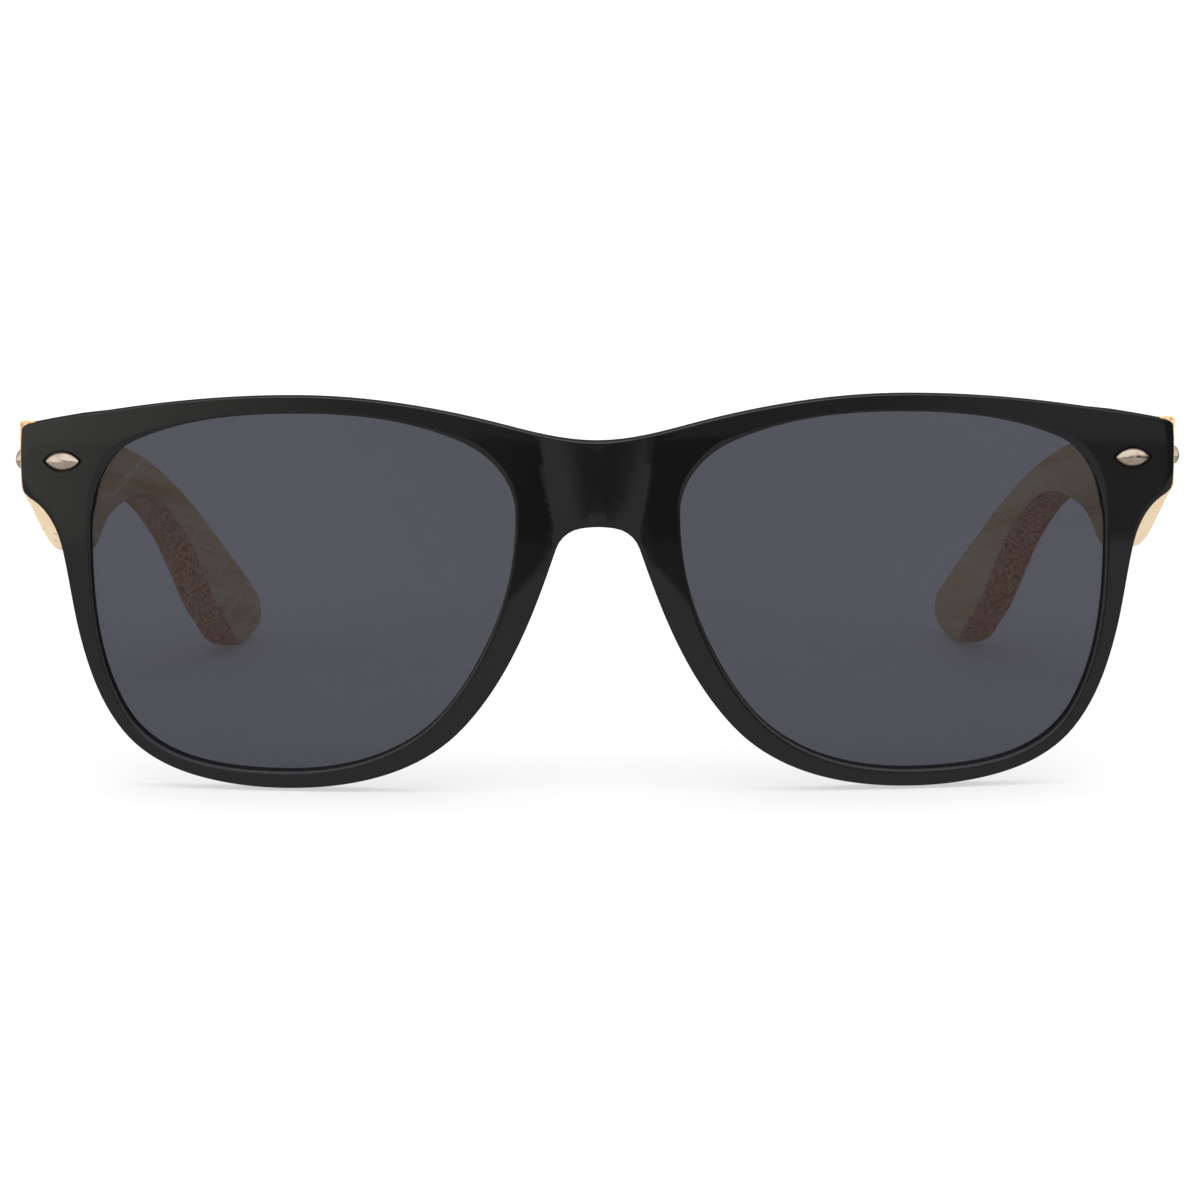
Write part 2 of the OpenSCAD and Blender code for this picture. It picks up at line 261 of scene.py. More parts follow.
def carved(bm: bmesh.types.BMesh, cutters: Sequence[bmesh.types.BMesh]) -> None:
    """Cuts other shapes out of a mesh, and frees them.

    Args:
        bm: The mesh that is cut.
        cutters: The shapes that are cut away.
    """
    for cutter in cutters:
        objects = []
        for shape in (bm, cutter):
            mesh = bpy.data.meshes.new("carving")
            shape.to_mesh(mesh)
            objects.append(linked("carving", mesh))
        cut = objects[0].modifiers.new("cut", "BOOLEAN")
        cut.operation = "DIFFERENCE"
        cut.solver = "EXACT"
        cut.object = objects[1]
        bpy.context.view_layer.update()
        graph = bpy.context.evaluated_depsgraph_get()
        result = objects[0].evaluated_get(graph).to_mesh()
        bm.clear()
        bm.from_mesh(result)
        for carving in objects:
            mesh = carving.data
            bpy.data.objects.remove(carving)
            bpy.data.meshes.remove(mesh)
        cutter.free()


def finished(
    name: str,
    bm: bmesh.types.BMesh,
    materials: Sequence[bpy.types.Material],
    sharp: float = 35.0,
) -> bpy.types.Object:
    """Makes a piece of a mesh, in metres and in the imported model's frame.

    Args:
        name: The piece's name.
        bm: The mesh in millimetres, which is freed.
        materials: The piece's materials in the order of its faces' indices.
        sharp: The angle in degrees over which an edge is shown sharp.

    Returns:
        The new object.
    """
    bmesh.ops.recalc_face_normals(bm, faces=bm.faces)
    bmesh.ops.translate(bm, vec=(0, -DATUM_BACK, 0), verts=bm.verts)
    bmesh.ops.scale(bm, vec=(MM, MM, MM), verts=bm.verts)
    for face in bm.faces:
        face.smooth = True
    for edge in sharp_edges(bm, sharp):
        edge.smooth = False
    mesh = bpy.data.meshes.new(name)
    bm.to_mesh(mesh)
    bm.free()
    for material in materials:
        mesh.materials.append(material)
    LOG.info("%s has %d faces", name, len(mesh.polygons))
    return linked(name, mesh)


class Value:
    """A shader's number socket that Python's operators can be used on."""

    def __init__(self, shader: Shader, socket: bpy.types.NodeSocket) -> None:
        """Wraps an output socket of a shader."""
        self.shader = shader
        self.socket = socket

    def maths(self, operation: str, *others: Operand) -> Value:
        """Adds a Math node.

        Args:
            operation: The node's operation.
            others: The inputs after this one.

        Returns:
            The node's result.
        """
        inputs = dict(enumerate((self, *others)))
        return self.shader.node("ShaderNodeMath", {"operation": operation}, inputs)

    def __add__(self, other: Operand) -> Value:
        """This plus another."""
        return self.maths("ADD", other)

    def __radd__(self, other: float) -> Value:
        """A number plus this."""
        return self.maths("ADD", other)

    def __sub__(self, other: Operand) -> Value:
        """This less another."""
        return self.maths("SUBTRACT", other)

    def __rsub__(self, other: float) -> Value:
        """A number less this."""
        return (self * -1.0).maths("ADD", other)

    def __mul__(self, other: Operand) -> Value:
        """This times another."""
        return self.maths("MULTIPLY", other)

    def __rmul__(self, other: float) -> Value:
        """A number times this."""
        return self.maths("MULTIPLY", other)

    def most(self, other: Operand) -> Value:
        """The larger of this and another."""
        return self.maths("MAXIMUM", other)

    def least(self, other: Operand) -> Value:
        """The smaller of this and another."""
        return self.maths("MINIMUM", other)

    def step(self, low: float, high: float) -> Value:
        """A soft step from 0 at low to 1 at high, or down where low is over high."""
        settings = {"interpolation_type": "SMOOTHSTEP"}
        inputs = {"Value": self, "From Min": low, "From Max": high, "To Min": 0.0, "To Max": 1.0}
        if low > high:
            inputs.update({"From Min": high, "From Max": low, "To Min": 1.0, "To Max": 0.0})
        return self.shader.node("ShaderNodeMapRange", settings, inputs)


Operand = Union[Value, float]


def grey_stops(levels: Mapping[float, float]) -> list[tuple[float, Colour]]:
    """A ramp's stops of plain greys, by their places."""
    return [(place, (level, level, level)) for place, level in levels.items()]


class Shader:
    """A node tree that is built up one node at a time."""

    def __init__(self, tree: bpy.types.NodeTree) -> None:
        """Starts from an emptied tree."""
        self.tree = tree
        tree.nodes.clear()

    @classmethod
    def of_material(cls, name: str) -> tuple[Shader, bpy.types.Material]:
        """A new material's shader, and the material."""
        material = bpy.data.materials.new(name)
        material.use_nodes = True
        return cls(material.node_tree), material

    def node(
        self,
        kind: str,
        settings: Mapping[str, Any] | None = None,
        inputs: Mapping[Union[str, int], Any] | None = None,
        output: Union[str, int] = 0,
    ) -> Value:
        """Adds a node.

        Args:
            kind: The node's type.
            settings: The node's own settings, or a ramp's stops under the name stops.
            inputs: Values or links of its sockets, by name or number.
            output: The socket that is handed back.

        Returns:
            The wrapped output.
        """
        added = self.tree.nodes.new(kind)
        for name, setting in (settings or {}).items():
            if name == "stops":
                self._set_stops(added.color_ramp, setting)
            else:
                setattr(added, name, setting)
        for name, value in (inputs or {}).items():
            socket = added.inputs[name]
            if isinstance(value, Value):
                self.tree.links.new(value.socket, socket)
            else:
                socket.default_value = value
        return Value(self, added.outputs[output] if added.outputs else None)

    @staticmethod
    def _set_stops(ramp: bpy.types.ColorRamp, stops: Sequence[tuple[float, Colour]]) -> None:
        """Sets a ramp's stops, which come as a place and a colour each."""
        while len(ramp.elements) < len(stops):
            ramp.elements.new(1.0)
        for element, (place, colour) in zip(ramp.elements, stops):
            element.position = place
            element.color = (*colour, 1.0)

    def place(
        self,
        turn: float = 0.0,
        stretch_by: Triple = (1.0, 1.0, 1.0),
        fall: float = 0.0,
    ) -> Value:
        """The piece's own coordinates in metres.

        Args:
            turn: The turn about Z in degrees that lays the pattern along the piece.
            stretch_by: The scale of each axis after the turn.
            fall: The angle in degrees by which the pattern falls towards the back.

        Returns:
            The coordinates.
        """
        own = self.node("ShaderNodeTexCoord", output="Object")
        turned = self.node(
            "ShaderNodeMapping",
            {"vector_type": "POINT"},
            {"Vector": own, "Rotation": (math.radians(fall), 0.0, math.radians(turn))},
        )
        return self.node(
            "ShaderNodeVectorMath", {"operation": "MULTIPLY"}, {0: turned, 1: stretch_by}
        )

    def noise(self, place: Value, scale: float, detail: float = 2.0, rough: float = 0.5) -> Value:
        """Soft noise between 0 and 1 at a number of grains per unit of place."""
        inputs = {"Vector": place, "Scale": scale, "Detail": detail, "Roughness": rough}
        return self.node("ShaderNodeTexNoise", {"noise_dimensions": "3D"}, inputs, "Fac")

    def ramp(self, value: Value, stops: Sequence[tuple[float, Colour]]) -> Value:
        """A colour that follows a number."""
        return self.node("ShaderNodeValToRGB", {"stops": stops}, {"Fac": value})

    def mix(self, share: Operand, first: Any, second: Any) -> Value:
        """Two colours mixed by a share.

        Args:
            share: The share of the second colour.
            first: A colour or a link.
            second: A colour or a link.

        Returns:
            The mixed colour.
        """
        colours = [
            colour if isinstance(colour, Value) else (*colour, 1.0) for colour in (first, second)
        ]
        inputs = {0: share, 6: colours[0], 7: colours[1]}
        return self.node("ShaderNodeMix", {"data_type": "RGBA"}, inputs, 2)

    def bump(self, height: Value, depth: float, strength: float) -> Value:
        """A normal that follows a height, whose full depth is in metres."""
        inputs = {"Height": height, "Distance": depth, "Strength": strength}
        return self.node("ShaderNodeBump", None, inputs)

    def surface(self, inputs: Mapping[str, Any]) -> None:
        """Ends a material in one Principled shader."""
        shown = self.node("ShaderNodeBsdfPrincipled", None, inputs)
        self.node("ShaderNodeOutputMaterial", None, {"Surface": shown})

    def tinted_surface(self, cover: float, tint: Colour, inputs: Mapping[str, Any]) -> None:
        """Ends a material that is seen through.

        Args:
            cover: The share of the Principled shader over the clear tint.
            tint: The colour of what shows through.
            inputs: The Principled shader's inputs.
        """
        clear = self.node("ShaderNodeBsdfTransparent", None, {"Color": (*tint, 1.0)})
        shown = self.node("ShaderNodeBsdfPrincipled", None, inputs)
        mixed = self.node("ShaderNodeMixShader", None, {0: cover, 1: clear, 2: shown})
        self.node("ShaderNodeOutputMaterial", None, {"Surface": mixed})


@dataclass(frozen=True)
class GlossBlack:
    """The front's polished black plastic, with a faint moulded ripple and hairline marks."""

    colour: Colour = (0.0040, 0.0040, 0.0042)
    worn: Colour = (0.0065, 0.0065, 0.0066)
    roughness: float = 0.016
    bridge_blur: float = 0.06
    bridge_half: Span = (0.0072, 0.0050)

    def material(self) -> bpy.types.Material:
        """The finish as a material."""
        shader, material = Shader.of_material("front_gloss_black")
        place = shader.place()
        cloud = shader.noise(place, 70.0, 3.0)
        marks = shader.noise(shader.place(24.0, (0.05, 1.0, 1.0)), 2600.0, 2.0).step(0.66, 0.74)
        ripple = shader.noise(place, 240.0, 2.0)
        grain = shader.noise(place, 5200.0, 2.0)
        across = shader.node("ShaderNodeSeparateXYZ", None, {0: place}, "X")
        bridge = across.maths("ABSOLUTE").step(*self.bridge_half)
        wear = cloud * 0.01 + marks * 0.05
        shader.surface(
            {
                "Base Color": shader.mix(cloud, self.colour, self.worn),
                "Roughness": self.roughness + wear + bridge * self.bridge_blur,
                "Normal": shader.bump(ripple + grain * 0.003, 0.00002, 0.08),
                "IOR": 1.49,
            }
        )
        return material


@dataclass(frozen=True)
class SatinWallPaintedLight:
    """The walls of the lens openings: satin black plastic whose lighter base colour is painted
    light, standing in for the light that the walls catch.
    """

    # These colours sit far above the gloss black as painted light on the walls; the scuffs only
    # vary them at random.
    colour: Colour = (0.052, 0.052, 0.055)
    scuffed: Colour = (0.068, 0.068, 0.071)
    roughness: float = 0.32

    def material(self) -> bpy.types.Material:
        """The finish as a material."""
        shader, material = Shader.of_material("opening_satin_black")
        place = shader.place()
        scuff = shader.noise(place, 900.0, 3.0, 0.6)
        grain = shader.noise(place, 4200.0, 2.0)
        shader.surface(
            {
                "Base Color": shader.mix(scuff, self.colour, self.scuffed),
                "Roughness": self.roughness + scuff * 0.1,
                "Normal": shader.bump(grain, 0.00001, 0.4),
            }
        )
        return material


@dataclass(frozen=True)
class TintedLens:
    """The smoke-grey lens: clear, polished and evenly tinted."""

    colour: Colour = (0.002, 0.002, 0.003)
    dusty: Colour = (0.05, 0.05, 0.055)
    tint: Colour = (0.800, 0.811, 0.888)
    cover: float = 0.66
    roughness: float = 0.04

    def material(self) -> bpy.types.Material:
        """The finish as a material."""
        shader, material = Shader.of_material("lens_smoke_tint")
        place = shader.place()
        cloud = shader.noise(place, 45.0, 2.0)
        dust = shader.noise(place, 3800.0, 1.0).step(0.78, 0.84)
        shader.tinted_surface(
            self.cover,
            self.tint,
            {
                "Base Color": shader.mix(dust * 0.15, self.colour, self.dusty),
                "Roughness": self.roughness + cloud * 0.02 + dust * 0.2,
                "IOR": 1.5,
                "Specular IOR Level": 0.2,
            },
        )
        return material


@dataclass(frozen=True)
class BambooFace:
    """A flat face of a temple: pale long-grained bamboo with fibre lines and sanding marks."""

    name: str
    turn: float
    marked: float
    pale: Colour = (0.97, 0.79, 0.55)
    middle: Colour = (0.92, 0.72, 0.46)
    deep: Colour = (0.76, 0.53, 0.30)
    fibre: Colour = (0.46, 0.26, 0.12)
    sanded: Colour = (1.0, 0.93, 0.80)
    grain_fall: float = 9.5
    strip: Triple = (90.0, 8.0, 280.0)
    thread: Triple = (500.0, 20.0, 1700.0)
    mark: Triple = (300.0, 26.0, 1900.0)
    mark_falls: Span = (10.0, -8.0)
    roughness: float = 0.46

    def material(self) -> bpy.types.Material:
        """The finish as a material."""
        shader, material = Shader.of_material(self.name)
        strips = shader.place(self.turn, self.strip, self.grain_fall)
        threads = shader.place(self.turn, self.thread, self.grain_fall)
        streak = shader.noise(strips, 1.0, 3.0, 0.55)
        thread = shader.noise(threads, 1.0, 2.0, 0.6)
        lines = thread.step(0.60, 0.74)
        tone = shader.ramp(
            streak * 0.7 + thread * 0.3,
            [(0.38, self.deep), (0.48, self.middle), (0.60, self.pale)],
        )
        first, second = (self._marks(shader, fall) for fall in self.mark_falls)
        sanding = first.most(second)
        colour = shader.mix(lines * 0.5, tone, self.fibre)
        shader.surface(
            {
                "Base Color": shader.mix(sanding * self.marked, colour, self.sanded),
                "Roughness": self.roughness + lines * 0.12 - streak * 0.08,
                "Specular IOR Level": 0.3,
                "Normal": shader.bump(thread - sanding * 0.5, 0.00005, 0.6),
            }
        )
        return material

    def _marks(self, shader: Shader, fall: float) -> Value:
        """Fine marks that the sanding left, along the board at an angle."""
        along = shader.place(self.turn, self.mark, fall)
        return shader.noise(along, 1.0, 1.0).step(0.64, 0.70)


@dataclass(frozen=True)
class BambooEdge:
    """The temple's cut edges: bamboo speckled with the ends of its fibres."""

    name: str
    turn: float
    pale: Colour
    middle: Colour
    deep: Colour
    speck: Triple = (2300.0, 1500.0, 1500.0)
    layer: Triple = (1100.0, 40.0, 40.0)
    roughness: float = 0.52

    def material(self) -> bpy.types.Material:
        """The finish as a material."""
        shader, material = Shader.of_material(self.name)
        layers = shader.place(self.turn, self.layer)
        fine = shader.place(self.turn, self.speck)
        layer = shader.noise(layers, 1.0, 3.0, 0.6)
        speck = shader.noise(fine, 1.0, 2.0, 0.6)
        dots = speck.step(0.48, 0.57)
        tone = shader.ramp(layer, [(0.36, self.middle), (0.60, self.pale)])
        shader.surface(
            {
                "Base Color": shader.mix(dots * 0.9, tone, self.deep),
                "Roughness": self.roughness + dots * 0.15,
                "Normal": shader.bump(speck, 0.00006, 0.5),
            }
        )
        return material


@dataclass(frozen=True)
class WornSilver:
    """The rivets' polished silver, browned in small patches."""

    bright: Colour = (0.79, 0.67, 0.55)
    brown: Colour = (0.50, 0.36, 0.27)
    roughness: float = 0.06

    def material(self) -> bpy.types.Material:
        """The finish as a material."""
        shader, material = Shader.of_material("rivet_worn_silver")
        place = shader.place()
        patch = shader.noise(place, 500.0, 3.0, 0.6).step(0.40, 0.70)
        fine = shader.noise(place, 6000.0, 2.0)
        shader.surface(
            {
                "Base Color": shader.mix(patch * 0.7, self.bright, self.brown),
                "Metallic": 1.0,
                "Roughness": self.roughness + patch * 0.12 + fine * 0.05,
                "Normal": shader.bump(fine, 0.00001, 0.3),
            }
        )
        return material


@dataclass(frozen=True)
class Metal:
    """A metal fitting, brushed or polished, with fine marks and dulled patches."""

    name: str
    colour: Colour
    dull: Colour
    roughness: float
    brushing: float
    metallic: float = 0.8

    def material(self) -> bpy.types.Material:
        """The finish as a material."""
        shader, material = Shader.of_material(self.name)
        cloud = shader.noise(shader.place(), 420.0, 3.0)
        hair = shader.noise(shader.place(0.0, (1.0, 1.0, 14.0)), 1400.0, 2.0)
        shader.surface(
            {
                "Base Color": shader.mix(cloud.step(0.45, 0.75), self.colour, self.dull),
                "Metallic": self.metallic,
                "Roughness": self.roughness + cloud * 0.08 + hair * self.brushing,
                "Normal": shader.bump(hair, 0.00001, self.brushing),
            }
        )
        return material


@dataclass
class Front:
    """The moulded front: two rims, the bridge, the end pieces and the nose pads."""

    thickness: float = 4.4
    bend: float = 280.0
    rim_top: float = 2.05
    rim_bottom: float = 1.85
    rim_side: float = 2.5
    rim_nose: float = 3.0
    lens_w: float = 53.8
    lens_h: float = 45.2
    bridge_w: float = 20.4
    bridge_h: float = 10.4
    bridge_dip: float = 5.6
    arch_w: float = 12.3
    end_reach: float = 8.6
    end_h: float = 8.0
    end_drop: float = 8.5
    end_back: float = 13.95
    end_corner: float = 0.8
    end_across: Span = (62.4, 64.4)
    end_up: Span = (33.2, 35.2)
    face_skin: float = 0.8
    back_skin: float = 0.65
    bulge: float = 0.7
    roll_back: float = 0.004
    roll_from: float = 2.2
    crease_low: Span = (5.4, 33.0)
    crease_high: Span = (7.0, 43.0)
    crease_depth: float = 1.5
    crease_reach: float = 10.0
    crease_below: float = 3.0
    pad_reach: float = 3.7
    pad_half_l: float = 8.2
    pad_half_w: float = 2.6
    pad_in: float = 1.7
    wall_near: float = 0.8
    wall_facing: float = 0.5
    rivet_x: float = 67.2
    rivet_up: float = 0.15
    shank_short: float = 0.4
    bore_past: float = 1.0
    corner: float = 60.0
    steps: int = 20
    rows: int = 10

    def __post_init__(self) -> None:
        """Works out the places that follow from the sizes."""
        self.open_in = self.bridge_w / 2
        self.open_out = self.open_in + self.lens_w
        self.open_low = self.rim_bottom
        self.open_top = self.open_low + self.lens_h
        self.height = self.open_top + self.rim_top
        self.bridge_top = self.height - self.bridge_dip
        self.bridge_low = self.bridge_top - self.bridge_h
        self.end_z = self.height - self.end_drop
        self.end_x = self.open_out + self.end_reach
        self.rivet_z = self.end_z + self.rivet_up

    def opening_knots(self) -> list[Knot]:
        """The left lens opening, clockwise from its top."""
        left, right = self.open_in, self.open_out
        low, top = self.open_low, self.open_top
        return [
            Knot(left + self.lens_w * 0.485, top, 0),
            Knot(right - 6.3, top - 3.5, -24),
            Knot(right, low + self.lens_h * 0.645, -90),
            Knot(right - 3.9, low + 7.8, -119),
            Knot(left + self.lens_w * 0.545, low, 180),
            Knot(left + 8.9, low + 8.0, 130),
            Knot(left, low + self.lens_h * 0.725, 90),
            Knot(left + 6.5, top - 3.5, 24),
        ]

    def half_knots(self) -> list[Knot]:
        """The left half of the outline, from the top of the bridge round to its underside."""
        opening = self.opening_knots()
        top = self.end_z + self.end_h / 2
        low = self.end_z - self.end_h / 2
        return [
            Knot(0, self.bridge_top, 0),
            Knot(self.open_in + 0.8, self.bridge_top + 1.85, 14.8),
            Knot(opening[0].across + 1.05, self.height, 0),
            Knot(self.open_out - 4, top + 2.65, -8.9),
            Knot(self.end_x - self.end_corner, top + 0.65, -12),
            Knot(self.end_x - 0.18, top + 0.75 - self.end_corner, -85),
            Knot(self.end_x - 0.15, low + 0.7, -94),
            Knot(self.end_x - 2.2, low - 1.35, -139),
            Knot(self.open_out + self.rim_side + 0.85, low - 7.2, -102),
            Knot(self.open_out + self.rim_side - 1.3, self.open_low + 16.35, -104.5),
            Knot(self.open_out - 4.05, self.open_low + 4.9, -130),
            Knot(self.open_out - 13.5, self.rim_bottom * 0.7, -165.5),
            Knot(opening[4].across + 0.1, 0, 180),
            opening[5].beside(self.rim_nose).turned(3),
            Knot(self.arch_w / 2, self.bridge_low - 5.6, 109.5),
            Knot(self.arch_w / 2 - 1, self.bridge_low - 2.75, 109.5),
            Knot(self.arch_w / 2 - 4, self.bridge_low - 0.2, 170),
            Knot(0, self.bridge_low, 180),
        ]

    def opening_points(self, steps: int | None = None) -> list[Vector]:
        """Points round the left opening, clockwise from its top."""
        knots = self.opening_knots()
        count = steps or self.steps
        points: list[Vector] = []
        for start, end in zip(knots, knots[1:] + knots[:1]):
            points += stretch(start, end, count)
        return points

    def outer_points(self) -> list[Vector]:
        """Points round the left half, one for each point of the opening and in the same order."""
        knots = self.half_knots()
        shares = [7, 13, 13, 7, 4, 5, 4, 7, 10, 10, 10, 10, 20, 20, 3, 5, 3]
        parts = [stretch(a, b, n) for a, b, n in zip(knots, knots[1:], shares)]
        middle = 9
        rise = self.bridge_h / middle
        parts.append([Vector((0, self.bridge_low + i * rise)) for i in range(middle)])
        order = parts[2:] + parts[:2]
        return [point for part in order for point in part]

    def sag(self, across: float) -> float:
        """The depth of the front face behind the bridge's, at a distance across."""
        return self.bend - math.sqrt(self.bend**2 - across**2)

    def bent(self, flat: Vector) -> Vector:
        """A point of the flat blank, carried straight back on to the bent front.

        Args:
            flat: The point, with its depth behind the front face along Y.

        Returns:
            The point's place on the bent front.
        """
        lean = math.asin(flat.x / self.bend)
        return Vector((flat.x, self.sag(flat.x) + flat.y / math.cos(lean), flat.z))

    def build(self, finishes: Sequence[bpy.types.Material]) -> bpy.types.Object:
        """Makes the front.

        Args:
            finishes: The materials of the front and of the openings' walls.

        Returns:
            The front's object.
        """
        bm = bmesh.new()
        self._draw_blank(bm)
        self._round_edges(bm)
        self._add_rows(bm)
        self._cut_creases(bm)
        for vert in bm.verts:
            vert.co = self._shaped(vert.co)
        bmesh.ops.recalc_face_normals(bm, faces=bm.faces)
        rivet = self.rivet()
        for side in Side:
            place = self.rivet_place(side)
            carved(bm, [rivet.seat(place), rivet.bore(place, self.bore_past)])
        self._mark_walls(bm)
        return finished("front_shell", bm, finishes)

    def rivet(self) -> Rivet:
        """The rivet of an end piece, whose shank stops just short of the hinge leaf's back."""
        lean = math.asin(self.rivet_x / self.bend)
        depth = (self.end_back - self.sag(self.rivet_x)) / math.cos(lean)
        return Rivet(depth - self.shank_short)

    def rivet_place(self, side: Side) -> Matrix:
        """The place of a rivet on the front face, with +Y into the front."""
        lean = math.asin(self.rivet_x / self.bend) * side.value
        spot = Vector((self.rivet_x * side.value, self.sag(self.rivet_x), self.rivet_z))
        return Matrix.Translation(spot) @ Matrix.Rotation(lean, 4, "Z")

    def _draw_blank(self, bm: bmesh.types.BMesh) -> None:
        """Draws the flat blank: a ring round the opening, thickened and mirrored."""
        layer = bm.verts.layers.int.new("opening")
        inner = drawn_loop(bm, [Vector((p.x, 0, p.y)) for p in self.opening_points()])
        grown = bmesh.ops.extrude_edge_only(bm, edges=bm.edges[:])["geom"]
        fresh = set(verts_of(grown))
        for vert, point in zip(inner, self.outer_points()):
            vert[layer] = 1
            linked_verts = [edge.other_vert(vert) for edge in vert.link_edges]
            partner = next(other for other in linked_verts if other in fresh)
            partner[layer] = 0
            partner.co = (point.x, 0, point.y)
        thickened(bm, bm.faces[:], (0, self.thickness, 0))
        seam = [face for face in bm.faces if all(abs(vert.co.x) < NEAR for vert in face.verts)]
        bmesh.ops.delete(bm, geom=seam, context="FACES_ONLY")
        everything = bm.verts[:] + bm.edges[:] + bm.faces[:]
        bmesh.ops.mirror(bm, geom=everything, axis="X", merge_dist=NEAR)
        bmesh.ops.remove_doubles(bm, verts=bm.verts, dist=NEAR)
        bmesh.ops.recalc_face_normals(bm, faces=bm.faces)

    def _round_edges(self, bm: bmesh.types.BMesh) -> None:
        """Rounds the outline and the openings over, in front and behind."""
        outline, opening = 0, 1
        roundings = [
            (0.0, outline, 0.06, 2),
            (self.thickness, outline, 0.3, 3),
            (0.0, opening, 0.15, 3),
            (self.thickness, opening, 0.2, 2),
        ]
        layer = bm.verts.layers.int["opening"]
        for depth, ring, width, segments in roundings:
            edges = [
                edge
                for edge in sharp_edges(bm, self.corner)
                if all(abs(v.co.y - depth) < NEAR and v[layer] == ring for v in edge.verts)
            ]
            bevelled(bm, edges, width, segments)
            bm.normal_update()

    def _mark_walls(self, bm: bmesh.types.BMesh) -> None:
        """Gives the openings' walls the second finish, whose lighter colour is painted light."""
        points = self.opening_points()
        tree = KDTree(len(points))
        for i, point in enumerate(points):
            tree.insert((point.x, point.y, 0), i)
        tree.balance()
        bm.normal_update()
        for face in bm.faces:
            middle = face.calc_center_median()
            away = tree.find((abs(middle.x), middle.z, 0))[2]
            if abs(face.normal.y) < self.wall_facing and away < self.wall_near:
                face.material_index = 1

    def _add_rows(self, bm: bmesh.types.BMesh) -> None:
        """Adds rows between the openings and the outline, for the bend to follow."""
        flat = {face for face in bm.faces if abs(face.normal.y) > 0.999}
        across = [
            edge
            for edge in bm.edges
            if len(edge.link_faces) == 2
            and all(face in flat for face in edge.link_faces)
            and any(abs(vert.co.x) > NEAR for vert in edge.verts)
        ]
        bmesh.ops.subdivide_edges(bm, edges=across, cuts=self.rows, use_grid_fill=True)

    def _cut_creases(self, bm: bmesh.types.BMesh) -> None:
        """Cuts a crease on each side of the bridge's bulge."""
        run = self.crease_high[0] - self.crease_low[0]
        rise = self.crease_high[1] - self.crease_low[1]
        for side in Side:
            near = [
                face
                for face in bm.faces
                if face.calc_center_median().y < self.crease_depth
                and abs(face.calc_center_median().x) < self.crease_reach
                and face.calc_center_median().z > self.bridge_low - self.crease_below
            ]
            verts = {vert for face in near for vert in face.verts}
            edges = {edge for face in near for edge in face.edges}
            bmesh.ops.bisect_plane(
                bm,
                geom=[*verts, *edges, *near],
                dist=NEAR,
                plane_co=(self.crease_low[0] * side.value, 0, self.crease_low[1]),
                plane_no=Vector((rise * side.value, 0, -run)).normalized(),
            )

    def _shaped(self, flat: Vector) -> Vector:
        """A point of the blank, with bridge, end pieces and pads raised and the front bent."""
        place = self.bent(flat)
        middle = self.thickness * 0.5
        behind = smooth_step(middle, self.thickness - self.back_skin, flat.y)
        ahead = 1 - smooth_step(self.face_skin, middle, flat.y)
        end = smooth_step(*self.end_across, abs(flat.x)) * smooth_step(*self.end_up, flat.z)
        back = self.bent(Vector((flat.x, self.thickness, flat.z))).y
        place.y += behind * end * (self.end_back - back)
        place.y += behind * self.pad_reach * self._pad_share(flat)
        share = self._bulge_share(flat)
        if share > 0:
            fallen = max(0.0, self.bridge_low + self.roll_from - flat.z)
            place.y -= ahead * (self.bulge * share - self.roll_back * fallen**2)
        return place

    def _bulge_share(self, flat: Vector) -> float:
        """The share of the bridge's bulge at a point of the blank."""
        run = self.crease_high[0] - self.crease_low[0]
        rise = self.crease_high[1] - self.crease_low[1]
        half = self.crease_low[0] + (flat.z - self.crease_low[1]) * run / rise
        return max(0.0, 1 - (flat.x / half) ** 2)

    def _pad_share(self, flat: Vector) -> float:
        """The share of a nose pad's reach at a point of the blank."""
        knots = self.half_knots()
        nose = stretch(knots[13], knots[14], 10)
        along = (nose[8] - nose[2]).normalized()
        inwards = Vector((along.y, -along.x))
        middle = nose[5] + self.pad_in * inwards
        offset = Vector((abs(flat.x), flat.z)) - middle
        lengthways = offset.dot(along) / self.pad_half_l
        crossways = offset.dot(inwards) / self.pad_half_w
        if abs(lengthways) >= 1 or abs(crossways) >= 1:
            return 0.0
        return math.cos(math.pi / 2 * lengthways) * math.cos(math.pi / 2 * crossways)


@dataclass
class Lens:
    """A tinted lens, bent with the front and held in its groove."""

    front: Front
    side: Side
    thickness: float = 1.8
    inset: float = 1.5
    groove: float = 0.7
    steps: int = 12
    strips: int = 36

    def build(self, finish: bpy.types.Material) -> bpy.types.Object:
        """Makes the lens.

        Args:
            finish: The lens's material.

        Returns:
            The lens's object.
        """
        bm = bmesh.new()
        points = self.front.opening_points(self.steps)
        verts = [bm.verts.new((p.x, self.inset, p.y)) for p in self._grown(points)]
        bm.faces.new(verts)
        left = min(vert.co.x for vert in verts)
        right = max(vert.co.x for vert in verts)
        for i in range(1, self.strips):
            spot = left + (right - left) * i / self.strips
            sliced(bm, (spot, 0, 0), (1, 0, 0))
        thickened(bm, bm.faces[:], (0, self.thickness, 0))
        for vert in bm.verts:
            vert.co = self.front.bent(vert.co)
            vert.co.x *= self.side.value
        return finished(f"lens_{self.side.word}_tinted", bm, [finish])

    def _grown(self, points: list[Vector]) -> list[Vector]:
        """The opening's points, moved outwards into the groove."""
        count = len(points)
        grown = []
        for i, point in enumerate(points):
            along = points[(i + 1) % count] - points[i - 1]
            grown.append(point + self.groove * Vector((-along.y, along.x)).normalized())
        return grown


